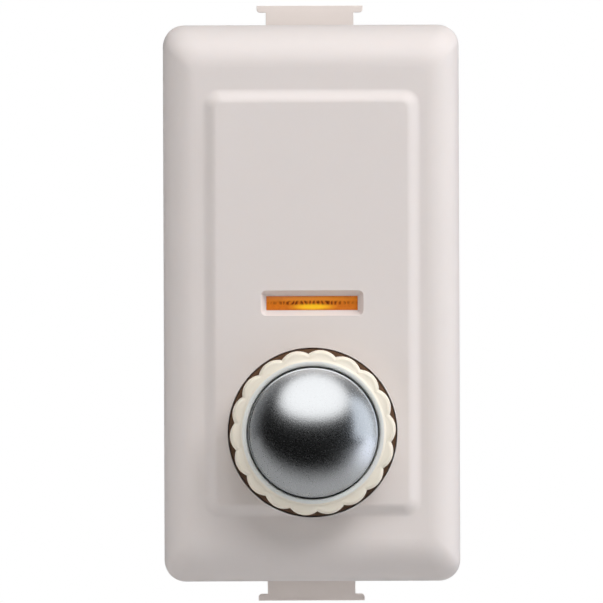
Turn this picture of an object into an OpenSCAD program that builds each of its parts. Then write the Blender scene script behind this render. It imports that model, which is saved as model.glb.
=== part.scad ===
// Rotary dimmer module for a snap-in wiring frame: a turn-and-push knob with a metal cap, an amber
// locator lamp, and behind them the potentiometer, two-way switch, phase-cut board, fuse drawer and
// three clamp terminals. The front faces -Y and +Z is up. The origin is the middle of the plane on
// which the cover's rim seats against the support frame.

/* [Front cover] */
// Width of the front cover
cover_w = 23.9; // [23.5:0.1:29]
// Height of the front cover
cover_h = 45; // [44.8:0.1:54]
// Depth of the cover from its seat to the border face
cover_d = 8; // [7:0.1:10]
// Wall thickness of the front cover
cover_wall = 1.5; // [1.2:0.1:1.8]
// Corner radius of the cover's outline
corner_r = 1.7; // [1:0.1:2.5]
// Rounding of the two long edges
side_round = 2.6; // [2:0.1:3.2]
// Rounding of the two short edges
end_round = 3.4; // [2:0.1:4]
// Height of the raised panel above the border
panel_rise = 0.45; // [0.3:0.05:0.8]
// Width of the ramp round the raised panel
panel_ramp = 1.1; // [0.6:0.1:1.6]
// Distance of the ramp's foot from the long edges
panel_side_margin = 3.15; // [2.8:0.05:3.6]
// Distance of the ramp's foot from the short edges
panel_end_margin = 5.2; // [4.2:0.1:6]

/* [Locator lamp] */
// Length of the lamp window
window_w = 7.4; // [6:0.1:8]
// Height of the lamp window
window_h = 1.15; // [0.9:0.05:2]
// Width of the bevel round the window
window_bevel = 0.45; // [0.3:0.05:0.8]
// Depth at which the lens lies below the panel
lens_sink = 0.75; // [0.3:0.05:0.9]
// Radius of the neon lamp's bulb
lamp_r = 1.6; // [1.4:0.1:1.8]
// Length of the neon lamp's bulb
lamp_l = 8.6; // [7:0.1:9]

/* [Knob] */
// Distance of the knob's axis below the middle of the cover
knob_drop = 10.45; // [10.2:0.05:10.6]
// Radius to the tips of the knob's lobes
knob_r = 6.7; // [5.5:0.05:7]
// Number of lobes round the knob
knob_lobes = 18; // [16:1:20]
// Radius of each lobe
lobe_r = 1.6; // [1.4:0.1:2]
// Height of the knob's lip above the panel
collar_h = 3.6; // [3:0.1:4.4]
// Width of the rim between the cap and the tips of the lobes
rim_w = 1.4; // [1.2:0.05:1.6]
// Rise of the domed cap above the lip
cap_rise = 2.8; // [2:0.1:3.4]
// Sheet thickness of the domed cap
cap_wall = 0.6; // [0.4:0.1:0.8]
// Radius of the shaft
shaft_r = 2; // [1.7:0.1:2.4]
// Travel of the knob when it is pushed
push_travel = 1.2; // [0.8:0.1:1.4]

/* [Snap latches] */
// Thickness of the support frame that the latches hold
frame_t = 2; // [1.2:0.1:2.4]
// Reach of each latch beyond the cover's outline
latch_reach = 1.65; // [1.2:0.05:2]
// Width of each latch's arm
latch_w = 7.1; // [6:0.1:8]
// Width of each latch's head
latch_head_w = 8.6; // [8:0.1:9]
// Thickness of each latch's head
latch_head_t = 0.55; // [0.4:0.05:0.8]
// Length of each latch from its head to its pivot
latch_arm = 10.2; // [9:0.1:10.6]
// Flex of each latch in degrees
latch_flex = 14; // [10:1:14]

/* [Housing] */
// Wall of the chassis
chassis_wall = 1.3; // [1:0.1:1.5]
// Wall of the rear housing
housing_wall = 1.6; // [1.4:0.1:1.9]
// Depth of the terminal chamber behind the chassis
chamber_d = 17.5; // [17:0.5:22]
// Thickness of the rear cover
rear_t = 3; // [2.6:0.1:3.6]

/* [Terminals] */
// Radius of the wire entries
wire_r = 1.8; // [1.5:0.1:2]
// Radius of the clamp screws
screw_r = 1.75; // [1.5:0.05:1.9]
// Travel of the clamp screws
screw_travel = 2; // [1.5:0.1:2.2]
// Distance between the two lower terminals
terminal_pitch = 9.8; // [9.6:0.1:10]

/* [Fuse] */
// Radius of the fuse's end caps
fuse_r = 2.6; // [2.4:0.05:2.7]
// Length of the fuse
fuse_l = 20; // [18:0.5:20]

/* [Hidden] */
$fn = 64;

// Clearances
fit = 0.15;        // between shells that slide into each other
running = 0.05;    // round a shaft or pin that turns in its hole
snug = 0.02;       // round a piece that is pressed or glued in place
touch_gap = 0.1;   // between pieces that come close and must not rub
well_gap = 0.15;   // between the knob's lobes and the cover's hole
push_gap = 0.35;   // left behind the knob when it is pushed home
through = 1;       // how far a cut runs past the face that it opens

// Colours
ivory = [0.90, 0.87, 0.84];
cream = [0.92, 0.89, 0.83];
brown = [0.25, 0.17, 0.12];
amber = [0.95, 0.50, 0.08];
steel = [0.72, 0.73, 0.75];
brass = [0.80, 0.64, 0.34];
copper = [0.76, 0.44, 0.26];
black = [0.08, 0.08, 0.09];
board_green = [0.10, 0.36, 0.20];
glass_tint = [0.85, 0.90, 0.92, 0.5];

// Front cover, from its face inwards
panel_y = -(cover_d + panel_rise);
inner_y = -(cover_d - cover_wall);
cavity_w = cover_w - 2*cover_wall;
cavity_h = cover_h - 2*cover_wall;
panel_w = cover_w - 2*panel_side_margin;
panel_h = cover_h - 2*panel_end_margin;
panel_root = 0.5;
lens_flange_t = 0.6;
lens_flange_w = 0.6;
well_tube_t = 0.7;
well_tube_l = 1.1;
catch_t = 0.45;
catch_w = 4;
catch_l = 1;
catch_y = -1.8;
catch_z = 12;

// Shells behind the cover
body_w = cavity_w - 2*fit;
body_h = cavity_h - 2*fit;
body_r = 1;
inner_w = body_w - 2*chassis_wall;
inner_h = body_h - 2*chassis_wall;

// Knob, from the lip inwards
knob_z = -knob_drop;
lobe_turn = 3;
lobe_step = 360/knob_lobes;
skirt_r = knob_r + 0.05;
skirt_t = 1.1;
well_r = knob_r + well_gap;
lip_y = panel_y - collar_h;
lip_r = knob_r - 0.85;
shoulder_r = 1.1;
cap_gap = 0.06;
cap_r = knob_r - rim_w - cap_gap;
cap_sphere_r = (cap_r*cap_r + cap_rise*cap_rise) / (2*cap_rise);
cap_skirt = 0.9;
hub_r = cap_r - 0.9;
hub_y = lip_y + cap_skirt + running;
hub_wall = 0.5;
hub_end_y = panel_y + skirt_t;
shaft_y = hub_y + hub_wall + running;
shaft_flat = shaft_r - 0.5;

// Potentiometer, from the knob inwards
bushing_r = shaft_r + 1.5;
bushing_relief = 0.4;
bushing_lead = 0.3;
nut_t = 1.8;
nut_r = bushing_r + 2.1;
washer_t = 0.4;
washer_r = bushing_r + 1.6;
plate_t = 1.4;
nut_y = hub_end_y + push_travel + push_gap;
bushing_y = nut_y - bushing_lead;
chassis_y = nut_y + nut_t + washer_t;
pot_y = chassis_y + plate_t;
pot_r = shaft_r + 2.9;
pot_wall = 0.6;
pot_front_t = 1;
pot_inner_r = pot_r - pot_wall;
bushing_end_y = pot_y + pot_front_t;
clip_t = 0.5;
clip_r = shaft_r + 1.2;
groove_r = shaft_r - 0.3;
clip_y = bushing_end_y + touch_gap;
clip_end_y = clip_y + clip_t;
rotor_t = 1.4;
rotor_r = pot_inner_r - 0.3;
rotor_y = clip_end_y + push_travel + touch_gap;
rotor_end_y = rotor_y + rotor_t;
wiper_t = 0.3;
track_y = rotor_end_y + wiper_t + touch_gap;
track_t = 0.8;
pin_w = 0.8;
pin_t = 0.4;
pin_pitch = 2.5;

// Two-way switch behind the potentiometer
switch_y = track_y + track_t;
switch_wall = 0.8;
switch_w = 2*pot_r;
shaft_end_y = switch_y + switch_wall + 0.6;
plunger_t = 1.2;
plunger_r = shaft_r + 0.6;
plunger_y = shaft_end_y + running;
bridge_t = 0.4;
bridge_w = 2*(pot_r - switch_wall - 0.6);
bridge_h = 4.4;
bridge_y = plunger_y + plunger_t;
bridge_end_y = bridge_y + bridge_t;
tail_r = 1.1;
tail_l = 3.2;
tail_end_y = bridge_y + tail_l;
switch_back_y = tail_end_y + push_travel + 2*touch_gap;
switch_end_y = switch_back_y + switch_wall;
contact_t = 0.4;
contact_pad = 0.7;
contact_h = 1.3;
contact_z = 0.8;
spring_wire_r = 0.18;
spring_r = tail_r + spring_wire_r + 0.55;
spring_turns = 4.5;
spring_sides = 8;
spring_steps = 14;

// Circuit board
board_gap = 0.2;
board_t = 1.6;
board_y = switch_end_y + board_gap;
board_end_y = board_y + board_t;
lead_r = 0.25;

// Latches: the upper one, of which the lower one is the mirror image
latch_y = frame_t + 0.2;
latch_pivot_y = latch_y + latch_arm;
latch_pivot_z = body_h/2 - 0.45;
latch_tip_z = cover_h/2 + latch_reach;
arm_t = 1.2;
hook_l = 1.3;
ramp_l = 4.6;
head_round = latch_head_t/2;
trunnion_r = 0.8;
trunnion_l = 0.9;
pocket_wall = 1.2;
pocket_w = latch_head_w + 2*fit;
pocket_y = latch_y - 0.7;
pocket_end_y = latch_pivot_y + trunnion_r + 0.4;
pocket_floor_z = latch_pivot_z - arm_t/2 - latch_arm*tan(latch_flex) - 0.3;
pocket_under_z = pocket_floor_z - pocket_wall;
board_w = inner_w - 0.8;
board_h = 2*(pocket_under_z - 0.4);

// Rear shells
partition_t = 2;
partition_y = max(board_end_y + 1.4, pocket_end_y + pocket_wall + touch_gap);
chassis_end_y = partition_y + partition_t;
rear_y = chassis_end_y + chamber_d;
rear_end_y = rear_y + rear_t;
chamber_w = body_w - 2*housing_wall;
chamber_h = body_h - 2*housing_wall;
spigot_gap = 0.1;

// Terminals: the upper one, from the housing's top face down
screw_head_r = screw_r + 1.15;
screw_head_t = 2;
screw_head_z = body_h/2 - 0.25 - screw_head_t;
screw_tip_r = 0.9;
screw_slot_w = 0.7;
screw_slot_d = 0.9;
cage_top_z = screw_head_z - screw_travel - 0.2;
cage_roof = 2;
cage_floor = 1;
cage_wall = 1;
clamp_t = 1;
clamp_top_z = cage_top_z - cage_roof - touch_gap;
clamp_z = clamp_top_z - clamp_t;
wire_gap = 0.25;
wire_z = clamp_z - wire_r - wire_gap;
cage_floor_z = wire_z - wire_r - wire_gap;
cage_under_z = cage_floor_z - cage_floor;
cage_w = 2*wire_r + 2.7;
cage_l = 8;
cage_end_y = rear_y - 2;
cage_y = cage_end_y - cage_l;
screw_y = cage_y + cage_l/2;
tab_w = 2.6;
tab_t = 0.7;
rib_t = 0.7;
funnel_t = 1;
funnel_w = 0.8;
// Each terminal's X, and whether it is mirrored to the lower end
common_at = [0, 0];
one_at = [-terminal_pitch/2, 1];
two_at = [terminal_pitch/2, 1];
terminals = [common_at, one_at, two_at];

// Fuse drawer
fuse_x = 3.9;
fuse_gap = 0.1;
fuse_glass_r = fuse_r - 0.2;
fuse_bore_r = fuse_glass_r - 0.5;
fuse_cap_l = 5;
fuse_cap_t = 0.25;
fuse_wire_r = 0.15;
fuse_end_y = rear_y + 0.4;
fuse_y = fuse_end_y - fuse_l;
carrier_wall = 0.8;
carrier_front_t = 0.6;
carrier_w = 2*(fuse_r + fuse_gap + carrier_wall);
carrier_y = fuse_y - fuse_gap - carrier_front_t;
carrier_grip = 0.9;
grip_notch = 0.4;
drawer_gap = 0.15;
tunnel_w = carrier_w + 2*drawer_gap;
tunnel_wall = 0.8;
clip_pad_t = 0.4;
clip_pad_l = 3;
clip_pad_x = fuse_x - fuse_r - 0.3;
strip_x = fuse_x - tunnel_w/2 - tunnel_wall - 0.3;
strip_z = 0.6;
strip_w = 1.8;

// Rear cover screws
boss_at = [-6.1, 4.6];
boss_r = 1.9;
rear_screw_r = 1;
rear_head_r = 1.8;
rear_head_t = 1;
rear_screw_l = 9;
rear_recess = 0.15;

// Neon lamp behind the lens
lamp_y = inner_y + lens_flange_t + 0.2 + lamp_r;
lamp_glass = 0.3;
lamp_end = 0.5;
lamp_lead_x = lamp_l/2 + 0.7;
electrode_z = 0.4;
electrode_l = 5.6;
lamp_slot_w = 2*lamp_lead_x + 1;
lamp_slot_h = 2*lamp_r + 1.2;

// Parts on the board: places in X and Z, sizes in X, Y and Z
choke_r = 4.4;
choke_core_r = 1.6;
choke_wire_r = 0.3;
choke_turns = 16;
choke_steps = 12;
choke_coil_r = choke_core_r + choke_wire_r + 0.05;
choke_y = board_y - choke_coil_r - choke_wire_r - 0.1;
choke_outer_r = choke_r + choke_coil_r + choke_wire_r;
suppressor = [12, 6.2, 8.6];
suppressor_at = [-2.6, 11];
suppressor_y = pot_y + 0.6;
suppressor_leads = [5.6, 3.8];
timer = [3, 4, 6];
timer_at = [-7.1, -6.5];
resistor_r = 1;
resistor_l = 6;
resistor_x = -0.5;
resistor_z = pot_r + touch_gap + pin_t + 0.2 + resistor_r - knob_drop;
resistor_zs = [resistor_z + 2.4, resistor_z];
resistor_lift = 0.3;
diac_r = 0.8;
diac_l = 3.4;
diac_at = [7.2, -9];
triac_size = [3.1, 8, 9];
triac_z = 2.5;
triac_lift = 2;
triac_tab_t = 1.2;
triac_tab_l = 3.3;
triac_leg_w = 0.7;
sink_t = 0.7;
sink_z = [-3, 14.9];
// The choke, the triac and its heat sink share the chassis' width, and the rest is shared out as gaps
across_gap = inner_w - 2*choke_outer_r - triac_size[0] - sink_t;
choke_at = [choke_outer_r + across_gap/6 - inner_w/2, 7.8];
triac_x = inner_w/2 - across_gap/3 - sink_t - triac_size[0];
triac_screw_r = 0.9;
triac_head_r = 1.5;
triac_head_t = 1.2;

// ---- Shapes used throughout ----

module block(x, y, z) {
    translate([x[0], y[0], z[0]]) cube([x[1] - x[0], y[1] - y[0], z[1] - z[0]]);
}
// A block that is centred on X and on Z
module centred_block(w, y, h) {
    block([-w/2, w/2], y, [-h/2, h/2]);
}
module rod_x(r, x) {
    translate([x[0], 0, 0]) rotate([0, 90, 0]) cylinder(h = x[1] - x[0], r = r);
}
module rod_y(r, y) {
    translate([0, y[0], 0]) rotate([-90, 0, 0]) cylinder(h = y[1] - y[0], r = r);
}
module rod_z(r, z) {
    translate([0, 0, z[0]]) cylinder(h = z[1] - z[0], r = r);
}
module ring_y(r_out, r_in, y) {
    difference() {
        rod_y(r_out, y);
        rod_y(r_in, [y[0] - through, y[1] + through]);
    }
}
// A flat shape drawn in X and Z, extruded along Y
module prism_y(y) {
    translate([0, y[1], 0]) rotate([90, 0, 0]) linear_extrude(y[1] - y[0]) children();
}
// A flat shape drawn in Y and Z, extruded along X
module prism_x(x) {
    translate([x[0], 0, 0]) rotate([90, 0, 90]) linear_extrude(x[1] - x[0]) children();
}
// A profile drawn in radius and height above the seat plane, turned about the front axis
module turned() {
    rotate([90, 0, 0]) rotate_extrude() children();
}
module round_rect(w, h, r) {
    square([w - 2*r, h], center = true);
    square([w, h - 2*r], center = true);
    for (x = [-1, 1], y = [-1, 1]) translate([x*(w/2 - r), y*(h/2 - r)]) circle(r);
}
module shoulder(w, d, r) {
    translate([-w/2, r - d]) square([w, d - r]);
    translate([r - w/2, -d]) square([w - 2*r, d]);
    for (s = [-1, 1]) translate([s*(w/2 - r), r - d]) circle(r);
}
// A box of depth d behind the front face, with its front edges rounded
module pillow(w, h, d, r_corner, r_side, r_end) {
    intersection() {
        prism_y([-d, 0]) round_rect(w, h, r_corner);
        linear_extrude(h + 2*through, center = true) shoulder(w, d, r_side);
        prism_x([-w/2 - through, w/2 + through]) rotate(-90) shoulder(h, d, r_end);
    }
}
module d_section(r, flat) {
    intersection() {
        circle(r);
        translate([-r - through, -r - through]) square([2*(r + through), r + through + flat]);
    }
}
module at_knob() {
    translate([0, 0, knob_z]) children();
}
// Puts an upper terminal's piece at a terminal's place
module at_terminal(at) {
    translate([at[0], 0, 0]) mirror([0, 0, at[1]]) children();
}
module at_bosses() {
    for (s = [0, 1]) mirror([0, 0, s]) translate([boss_at[0], 0, boss_at[1]]) children();
}
// A wire of radius r whose middle runs through the points of path; each point has its own two
// directions, across which the wire's round section is drawn
module wire(path, across, r, sides) {
    count = len(path);
    points = [
        for (i = [0 : count - 1], k = [0 : sides - 1])
            path[i] + r*(cos(k*360/sides)*across[i][0] + sin(k*360/sides)*across[i][1])
    ];
    walls = [
        for (i = [0 : count - 2], k = [0 : sides - 1])
            let (m = (k + 1) % sides)
            [i*sides + k, i*sides + m, (i + 1)*sides + m, (i + 1)*sides + k]
    ];
    first = [for (k = [sides - 1 : -1 : 0]) k];
    last = [for (k = [0 : sides - 1]) (count - 1)*sides + k];
    polyhedron(points, concat([first], walls, [last]), convexity = 10);
}

// ---- Front ----

module ramp_profile(w) {
    polygon([
        [-w/2, panel_root - cover_d], [w/2, panel_root - cover_d], [w/2, -cover_d],
        [w/2 - panel_ramp, panel_y], [panel_ramp - w/2, panel_y], [-w/2, -cover_d],
    ]);
}
module raised_panel() {
    intersection() {
        linear_extrude(panel_h, center = true) ramp_profile(panel_w);
        prism_x([-panel_w/2, panel_w/2]) rotate(-90) ramp_profile(panel_h);
    }
}
module bevel_profile(w) {
    mouth = w/2 + window_bevel;
    lens_y = panel_y + lens_sink;
    polygon([
        [-mouth, panel_y - through], [mouth, panel_y - through], [mouth, panel_y],
        [w/2, lens_y], [-w/2, lens_y], [-mouth, panel_y],
    ]);
}
module lamp_window() {
    intersection() {
        linear_extrude(window_h + 2*window_bevel, center = true) bevel_profile(window_w);
        prism_x([-window_w/2 - window_bevel, window_w/2 + window_bevel])
            rotate(-90) bevel_profile(window_h);
    }
    centred_block(window_w, [panel_y, inner_y + through], window_h);
}
module cover_cavity() {
    r_corner = max(corner_r - cover_wall, fit);
    r_side = side_round - cover_wall;
    r_end = end_round - cover_wall;
    pillow(cavity_w, cavity_h, cover_d - cover_wall, r_corner, r_side, r_end);
    prism_y([-through, through]) round_rect(cavity_w, cavity_h, r_corner);
}
module catches(l, proud, root) {
    for (x = [-1, 1], z = [-1, 1])
        translate([x*(cavity_w/2 + (root - proud)/2), catch_y + catch_l/2, z*catch_z])
            cube([proud + root, l, catch_w + l - catch_l], center = true);
}
module front_cover() color(ivory) difference() {
    union() {
        difference() {
            union() {
                pillow(cover_w, cover_h, cover_d, corner_r, side_round, end_round);
                raised_panel();
            }
            cover_cavity();
        }
        at_knob() rod_y(well_r + well_tube_t, [inner_y - panel_root, inner_y + well_tube_l]);
        catches(catch_l, catch_t, panel_root);
    }
    at_knob() rod_y(well_r, [panel_y - through, through]);
    lamp_window();
}
module indicator_lens() color(amber) {
    flange_w = window_w + 2*lens_flange_w;
    flange_h = window_h + 2*lens_flange_w;
    centred_block(window_w, [panel_y + lens_sink, inner_y], window_h);
    centred_block(flange_w, [inner_y, inner_y + lens_flange_t], flange_h);
}
module lamp_bulb() color(glass_tint) translate([0, lamp_y, 0]) difference() {
    rod_x(lamp_r, [-lamp_l/2, lamp_l/2]);
    rod_x(lamp_r - lamp_glass, [lamp_end - lamp_l/2, lamp_l/2 - lamp_end]);
    for (s = [0, 1]) mirror([s, 0, 0]) mirror([0, 0, s]) translate([0, 0, electrode_z])
        rod_x(lead_r + snug, [0, lamp_l/2 + through]);
}
module lamp_electrodes() color(steel) {
    for (s = [0, 1]) mirror([s, 0, 0]) mirror([0, 0, s]) translate([0, 0, electrode_z]) {
        translate([0, lamp_y, 0]) rod_x(lead_r, [-electrode_l/2, lamp_lead_x + lead_r]);
        translate([lamp_lead_x, 0, 0]) rod_y(lead_r, [lamp_y, board_y]);
    }
}

// ---- Shells ----

module chassis() color(ivory) difference() {
    cheek_x = pocket_w/2 + pocket_wall;
    union() {
        difference() {
            prism_y([chassis_y, chassis_end_y]) round_rect(body_w, body_h, body_r);
            centred_block(inner_w, [pot_y, chassis_end_y + through], inner_h);
        }
        for (s = [0, 1]) mirror([0, 0, s])
            block([-cheek_x, cheek_x], [pocket_y - pocket_wall, pocket_end_y + pocket_wall],
                [pocket_under_z, body_h/2 - chassis_wall/2]);
    }
    for (s = [0, 1]) mirror([0, 0, s]) {
        block([-pocket_w/2, pocket_w/2], [pocket_y, pocket_end_y], [pocket_floor_z, body_h/2 + through]);
        translate([0, latch_pivot_y, latch_pivot_z])
            rod_x(trunnion_r + running, [-cheek_x - through, cheek_x + through]);
    }
    centred_block(lamp_slot_w, [chassis_y - through, pot_y + through], lamp_slot_h);
    at_knob() rod_y(bushing_r + snug, [chassis_y - through, pot_y + through]);
    catches(catch_l + 2*fit, catch_t + fit, 0);
}
module latch() color(ivory) {
    low_z = latch_pivot_z - arm_t/2;
    high_z = latch_pivot_z + arm_t/2;
    prism_x([-latch_w/2, latch_w/2]) polygon([
        [latch_y, low_z], [latch_pivot_y, low_z], [latch_pivot_y, high_z],
        [latch_y + ramp_l, high_z], [latch_y + hook_l, latch_tip_z], [latch_y, latch_tip_z],
    ]);
    prism_y([latch_y, latch_y + hook_l]) translate([0, latch_tip_z - latch_head_t]) {
        translate([-latch_head_w/2, head_round]) square([latch_head_w, latch_head_t - head_round]);
        translate([head_round - latch_head_w/2, 0]) square([latch_head_w - 2*head_round, latch_head_t]);
        for (s = [-1, 1]) translate([s*(latch_head_w/2 - head_round), head_round]) circle(head_round);
    }
    translate([0, latch_pivot_y, latch_pivot_z])
        rod_x(trunnion_r, [-pocket_w/2 - trunnion_l, pocket_w/2 + trunnion_l]);
}
module upper_latch() {
    latch();
}
module lower_latch() {
    mirror([0, 0, 1]) latch();
}
// The trough of ribs that holds one terminal
module cradle() {
    outer = cage_w/2 + touch_gap + rib_t;
    inner = cage_w/2 + touch_gap;
    floor_z = cage_under_z - touch_gap;
    difference() {
        block([-outer, outer], [chassis_end_y, cage_end_y], [floor_z - rib_t, cage_top_z]);
        block([-inner, inner], [chassis_end_y - through, rear_y], [floor_z, body_h/2]);
    }
}
module rear_housing() color(ivory) difference() {
    union() {
        difference() {
            prism_y([chassis_end_y, rear_y]) round_rect(body_w, body_h, body_r);
            centred_block(chamber_w, [chassis_end_y, rear_y + through], chamber_h);
        }
        centred_block(inner_w - 2*spigot_gap, [partition_y, chassis_end_y], inner_h - 2*spigot_gap);
        for (at = terminals) at_terminal(at) cradle();
        translate([fuse_x, 0, 0]) centred_block(tunnel_w + 2*tunnel_wall,
            [partition_y + through, rear_y], tunnel_w + 2*tunnel_wall);
        at_bosses() rod_y(boss_r, [partition_y + through, rear_y]);
    }
    translate([fuse_x, 0, 0]) centred_block(tunnel_w, [partition_y - through, rear_y + through], tunnel_w);
    for (at = terminals) at_terminal(at) {
        block([-tab_w/2 - touch_gap, tab_w/2 + touch_gap], [partition_y - through, chassis_end_y + through],
            [cage_under_z - touch_gap, cage_under_z + tab_t + touch_gap]);
        translate([0, screw_y, 0]) rod_z(screw_head_r + 2*fit, [cage_top_z, body_h/2 + through]);
    }
    at_bosses() rod_y(rear_screw_r + snug, [rear_y - rear_screw_l, rear_y + through]);
    for (s = [0, 1]) mirror([0, 0, s]) strip_cut(s);
}
// Cuts for one contact strip of the fuse: through the partition and through the tunnel's wall
module strip_cut(s) {
    z = [strip_z - touch_gap, strip_z + strip_w + touch_gap];
    block([strip_x - clip_pad_t - touch_gap, strip_x + touch_gap],
        [partition_y - through, chassis_end_y + through], z);
    block([strip_x, fuse_x - tunnel_w/2 + touch_gap],
        [strip_mid(s) - clip_pad_t/2 - touch_gap, strip_mid(s) + clip_pad_t/2 + touch_gap], z);
}
module rear_cover() color(ivory) difference() {
    prism_y([rear_y, rear_end_y]) round_rect(body_w, body_h, body_r);
    for (at = terminals) at_terminal(at) translate([0, 0, wire_z]) {
        rod_y(wire_r, [rear_y - through, rear_end_y]);
        translate([0, rear_end_y - funnel_t, 0]) rotate([-90, 0, 0])
            cylinder(h = 2*funnel_t, r1 = wire_r, r2 = wire_r + 2*funnel_w);
    }
    translate([fuse_x, 0, 0]) centred_block(tunnel_w, [rear_y - through, rear_end_y + through], tunnel_w);
    at_bosses() {
        rod_y(rear_screw_r + 0.2, [rear_y - through, rear_end_y]);
        rod_y(rear_head_r + fit, [rear_end_y - rear_head_t - rear_recess, rear_end_y + through]);
    }
}
module rear_cover_screws() color(steel) at_bosses() {
    head_y = rear_end_y - rear_recess - rear_head_t;
    rod_y(rear_screw_r, [head_y - rear_screw_l, head_y]);
    difference() {
        rod_y(rear_head_r, [head_y, head_y + rear_head_t]);
        centred_block(2*rear_head_r + through, [head_y + rear_head_t/2, rear_end_y], 0.5);
    }
}

// ---- Knob and shaft ----

module lobed_outline() {
    circle(knob_r - lobe_r/2);
    for (i = [0 : knob_lobes - 1])
        rotate(lobe_turn + i*lobe_step) translate([knob_r - lobe_r, 0]) circle(lobe_r);
}
// The collar's outer form: straight sides and a rounded shoulder that runs in to the lip
module collar_envelope() {
    turned() {
        translate([0, -panel_y]) square([lip_r, collar_h]);
        translate([0, -panel_y]) square([lip_r + shoulder_r, collar_h - shoulder_r]);
        intersection() {
            translate([lip_r, -lip_y - shoulder_r]) circle(shoulder_r);
            translate([lip_r - shoulder_r, -lip_y - shoulder_r]) square([2*shoulder_r, 2*shoulder_r]);
        }
    }
}
module knob_collar() color(cream) at_knob() difference() {
    intersection() {
        prism_y([lip_y - through, panel_y]) lobed_outline();
        collar_envelope();
    }
    rod_y(cap_r + cap_gap, [lip_y - through, hub_y]);
    rod_y(hub_r + snug, [lip_y - through, panel_y + through]);
}
module cap_section(inset) {
    base_h = -lip_y;
    centre_h = base_h + cap_rise - cap_sphere_r;
    intersection() {
        translate([0, centre_h]) circle(cap_sphere_r - inset);
        translate([0, base_h]) square([cap_r - inset, cap_rise]);
    }
    translate([0, base_h - cap_skirt]) square([cap_r - inset, cap_skirt]);
}
module knob_cap() color(steel) at_knob() turned() difference() {
    cap_section(0);
    cap_section(cap_wall);
    translate([0, -lip_y - cap_skirt - through]) square([cap_r - cap_wall, 2*through]);
}
module knob_hub() color(brown) at_knob() difference() {
    union() {
        rod_y(skirt_r, [panel_y, hub_end_y]);
        rod_y(hub_r, [hub_y, hub_end_y]);
    }
    prism_y([hub_y + hub_wall, hub_end_y + through]) d_section(shaft_r + snug, shaft_flat + snug);
    rod_y(bushing_r + bushing_relief, [hub_end_y - bushing_relief, hub_end_y + through]);
}
module shaft() color(steel) at_knob() difference() {
    union() {
        prism_y([shaft_y, hub_end_y]) d_section(shaft_r, shaft_flat);
        rod_y(shaft_r, [hub_end_y - running, clip_end_y + running]);
        prism_y([clip_end_y, shaft_end_y]) d_section(shaft_r, shaft_flat);
    }
    ring_y(shaft_r + through, groove_r, [clip_y - snug, clip_end_y + snug]);
}
module shaft_clip() color(steel) at_knob() difference() {
    ring_y(clip_r, groove_r + snug, [clip_y, clip_end_y]);
    block([-groove_r, groove_r], [clip_y - through, clip_end_y + through], [-clip_r - through, 0]);
}

// ---- Potentiometer ----

module bushing() color(brass) at_knob() ring_y(bushing_r, shaft_r + running, [bushing_y, bushing_end_y]);
module bushing_washer() color(steel) at_knob()
    ring_y(washer_r, bushing_r + snug, [nut_y + nut_t, chassis_y]);
module bushing_nut() color(steel) at_knob() difference() {
    translate([0, nut_y, 0]) rotate([-90, 0, 0]) cylinder(h = nut_t, r = nut_r, $fn = 6);
    rod_y(bushing_r + snug, [nut_y - through, nut_y + nut_t + through]);
}
module potentiometer_case() color(steel) at_knob() difference() {
    rod_y(pot_r, [pot_y, track_y]);
    rod_y(pot_inner_r, [bushing_end_y, track_y + through]);
    rod_y(bushing_r + snug, [pot_y - through, bushing_end_y + through]);
}
module potentiometer_rotor() color(black) at_knob() difference() {
    rod_y(rotor_r, [rotor_y, rotor_end_y]);
    prism_y([rotor_y - through, rotor_end_y + through]) d_section(shaft_r + running, shaft_flat + running);
}
module wiper() color(copper) at_knob() {
    ring_y(shaft_r + 1, shaft_r + 0.3, [rotor_end_y, rotor_end_y + wiper_t]);
    block([-pin_w/2, pin_w/2], [rotor_end_y, rotor_end_y + wiper_t], [shaft_r + 0.6, rotor_r - 0.3]);
}
module resistance_track() color(black) at_knob() difference() {
    union() {
        rod_y(pot_r, [track_y, switch_y]);
        block([-pin_pitch - pin_w, pin_pitch + pin_w], [track_y, switch_y], [0, pot_r + pin_w]);
    }
    rod_y(shaft_r + touch_gap, [track_y - through, switch_y + through]);
}
module potentiometer_pins() color(steel) at_knob() {
    for (i = [-1 : 1]) translate([i*pin_pitch, 0, 0])
        block([-pin_w/2, pin_w/2], [switch_y, board_y], [pot_r + touch_gap, pot_r + touch_gap + pin_t]);
}

// ---- Two-way switch ----

module switch_case() color(black) at_knob() difference() {
    hollow = switch_w - 2*switch_wall;
    centred_block(switch_w, [switch_y, switch_end_y], switch_w);
    centred_block(hollow, [switch_y + switch_wall, switch_back_y], hollow);
    rod_y(shaft_r + touch_gap, [switch_y - through, switch_y + switch_wall + through]);
    for (sx = [0, 1], sz = [0, 1]) mirror([sx, 0, 0]) mirror([0, 0, sz])
        block([hollow/2 - contact_t - snug, hollow/2], [switch_back_y - through, switch_end_y + through],
            [contact_z - snug, contact_z + contact_h + snug]);
}
module switch_plunger() color(cream) at_knob() {
    rod_y(plunger_r, [plunger_y, bridge_y]);
    rod_y(tail_r, [bridge_y - running, tail_end_y]);
}
module contact_bridge() color(copper) at_knob() difference() {
    centred_block(bridge_w, [bridge_y, bridge_end_y], bridge_h);
    rod_y(tail_r + snug, [bridge_y - through, bridge_end_y + through]);
}
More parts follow.
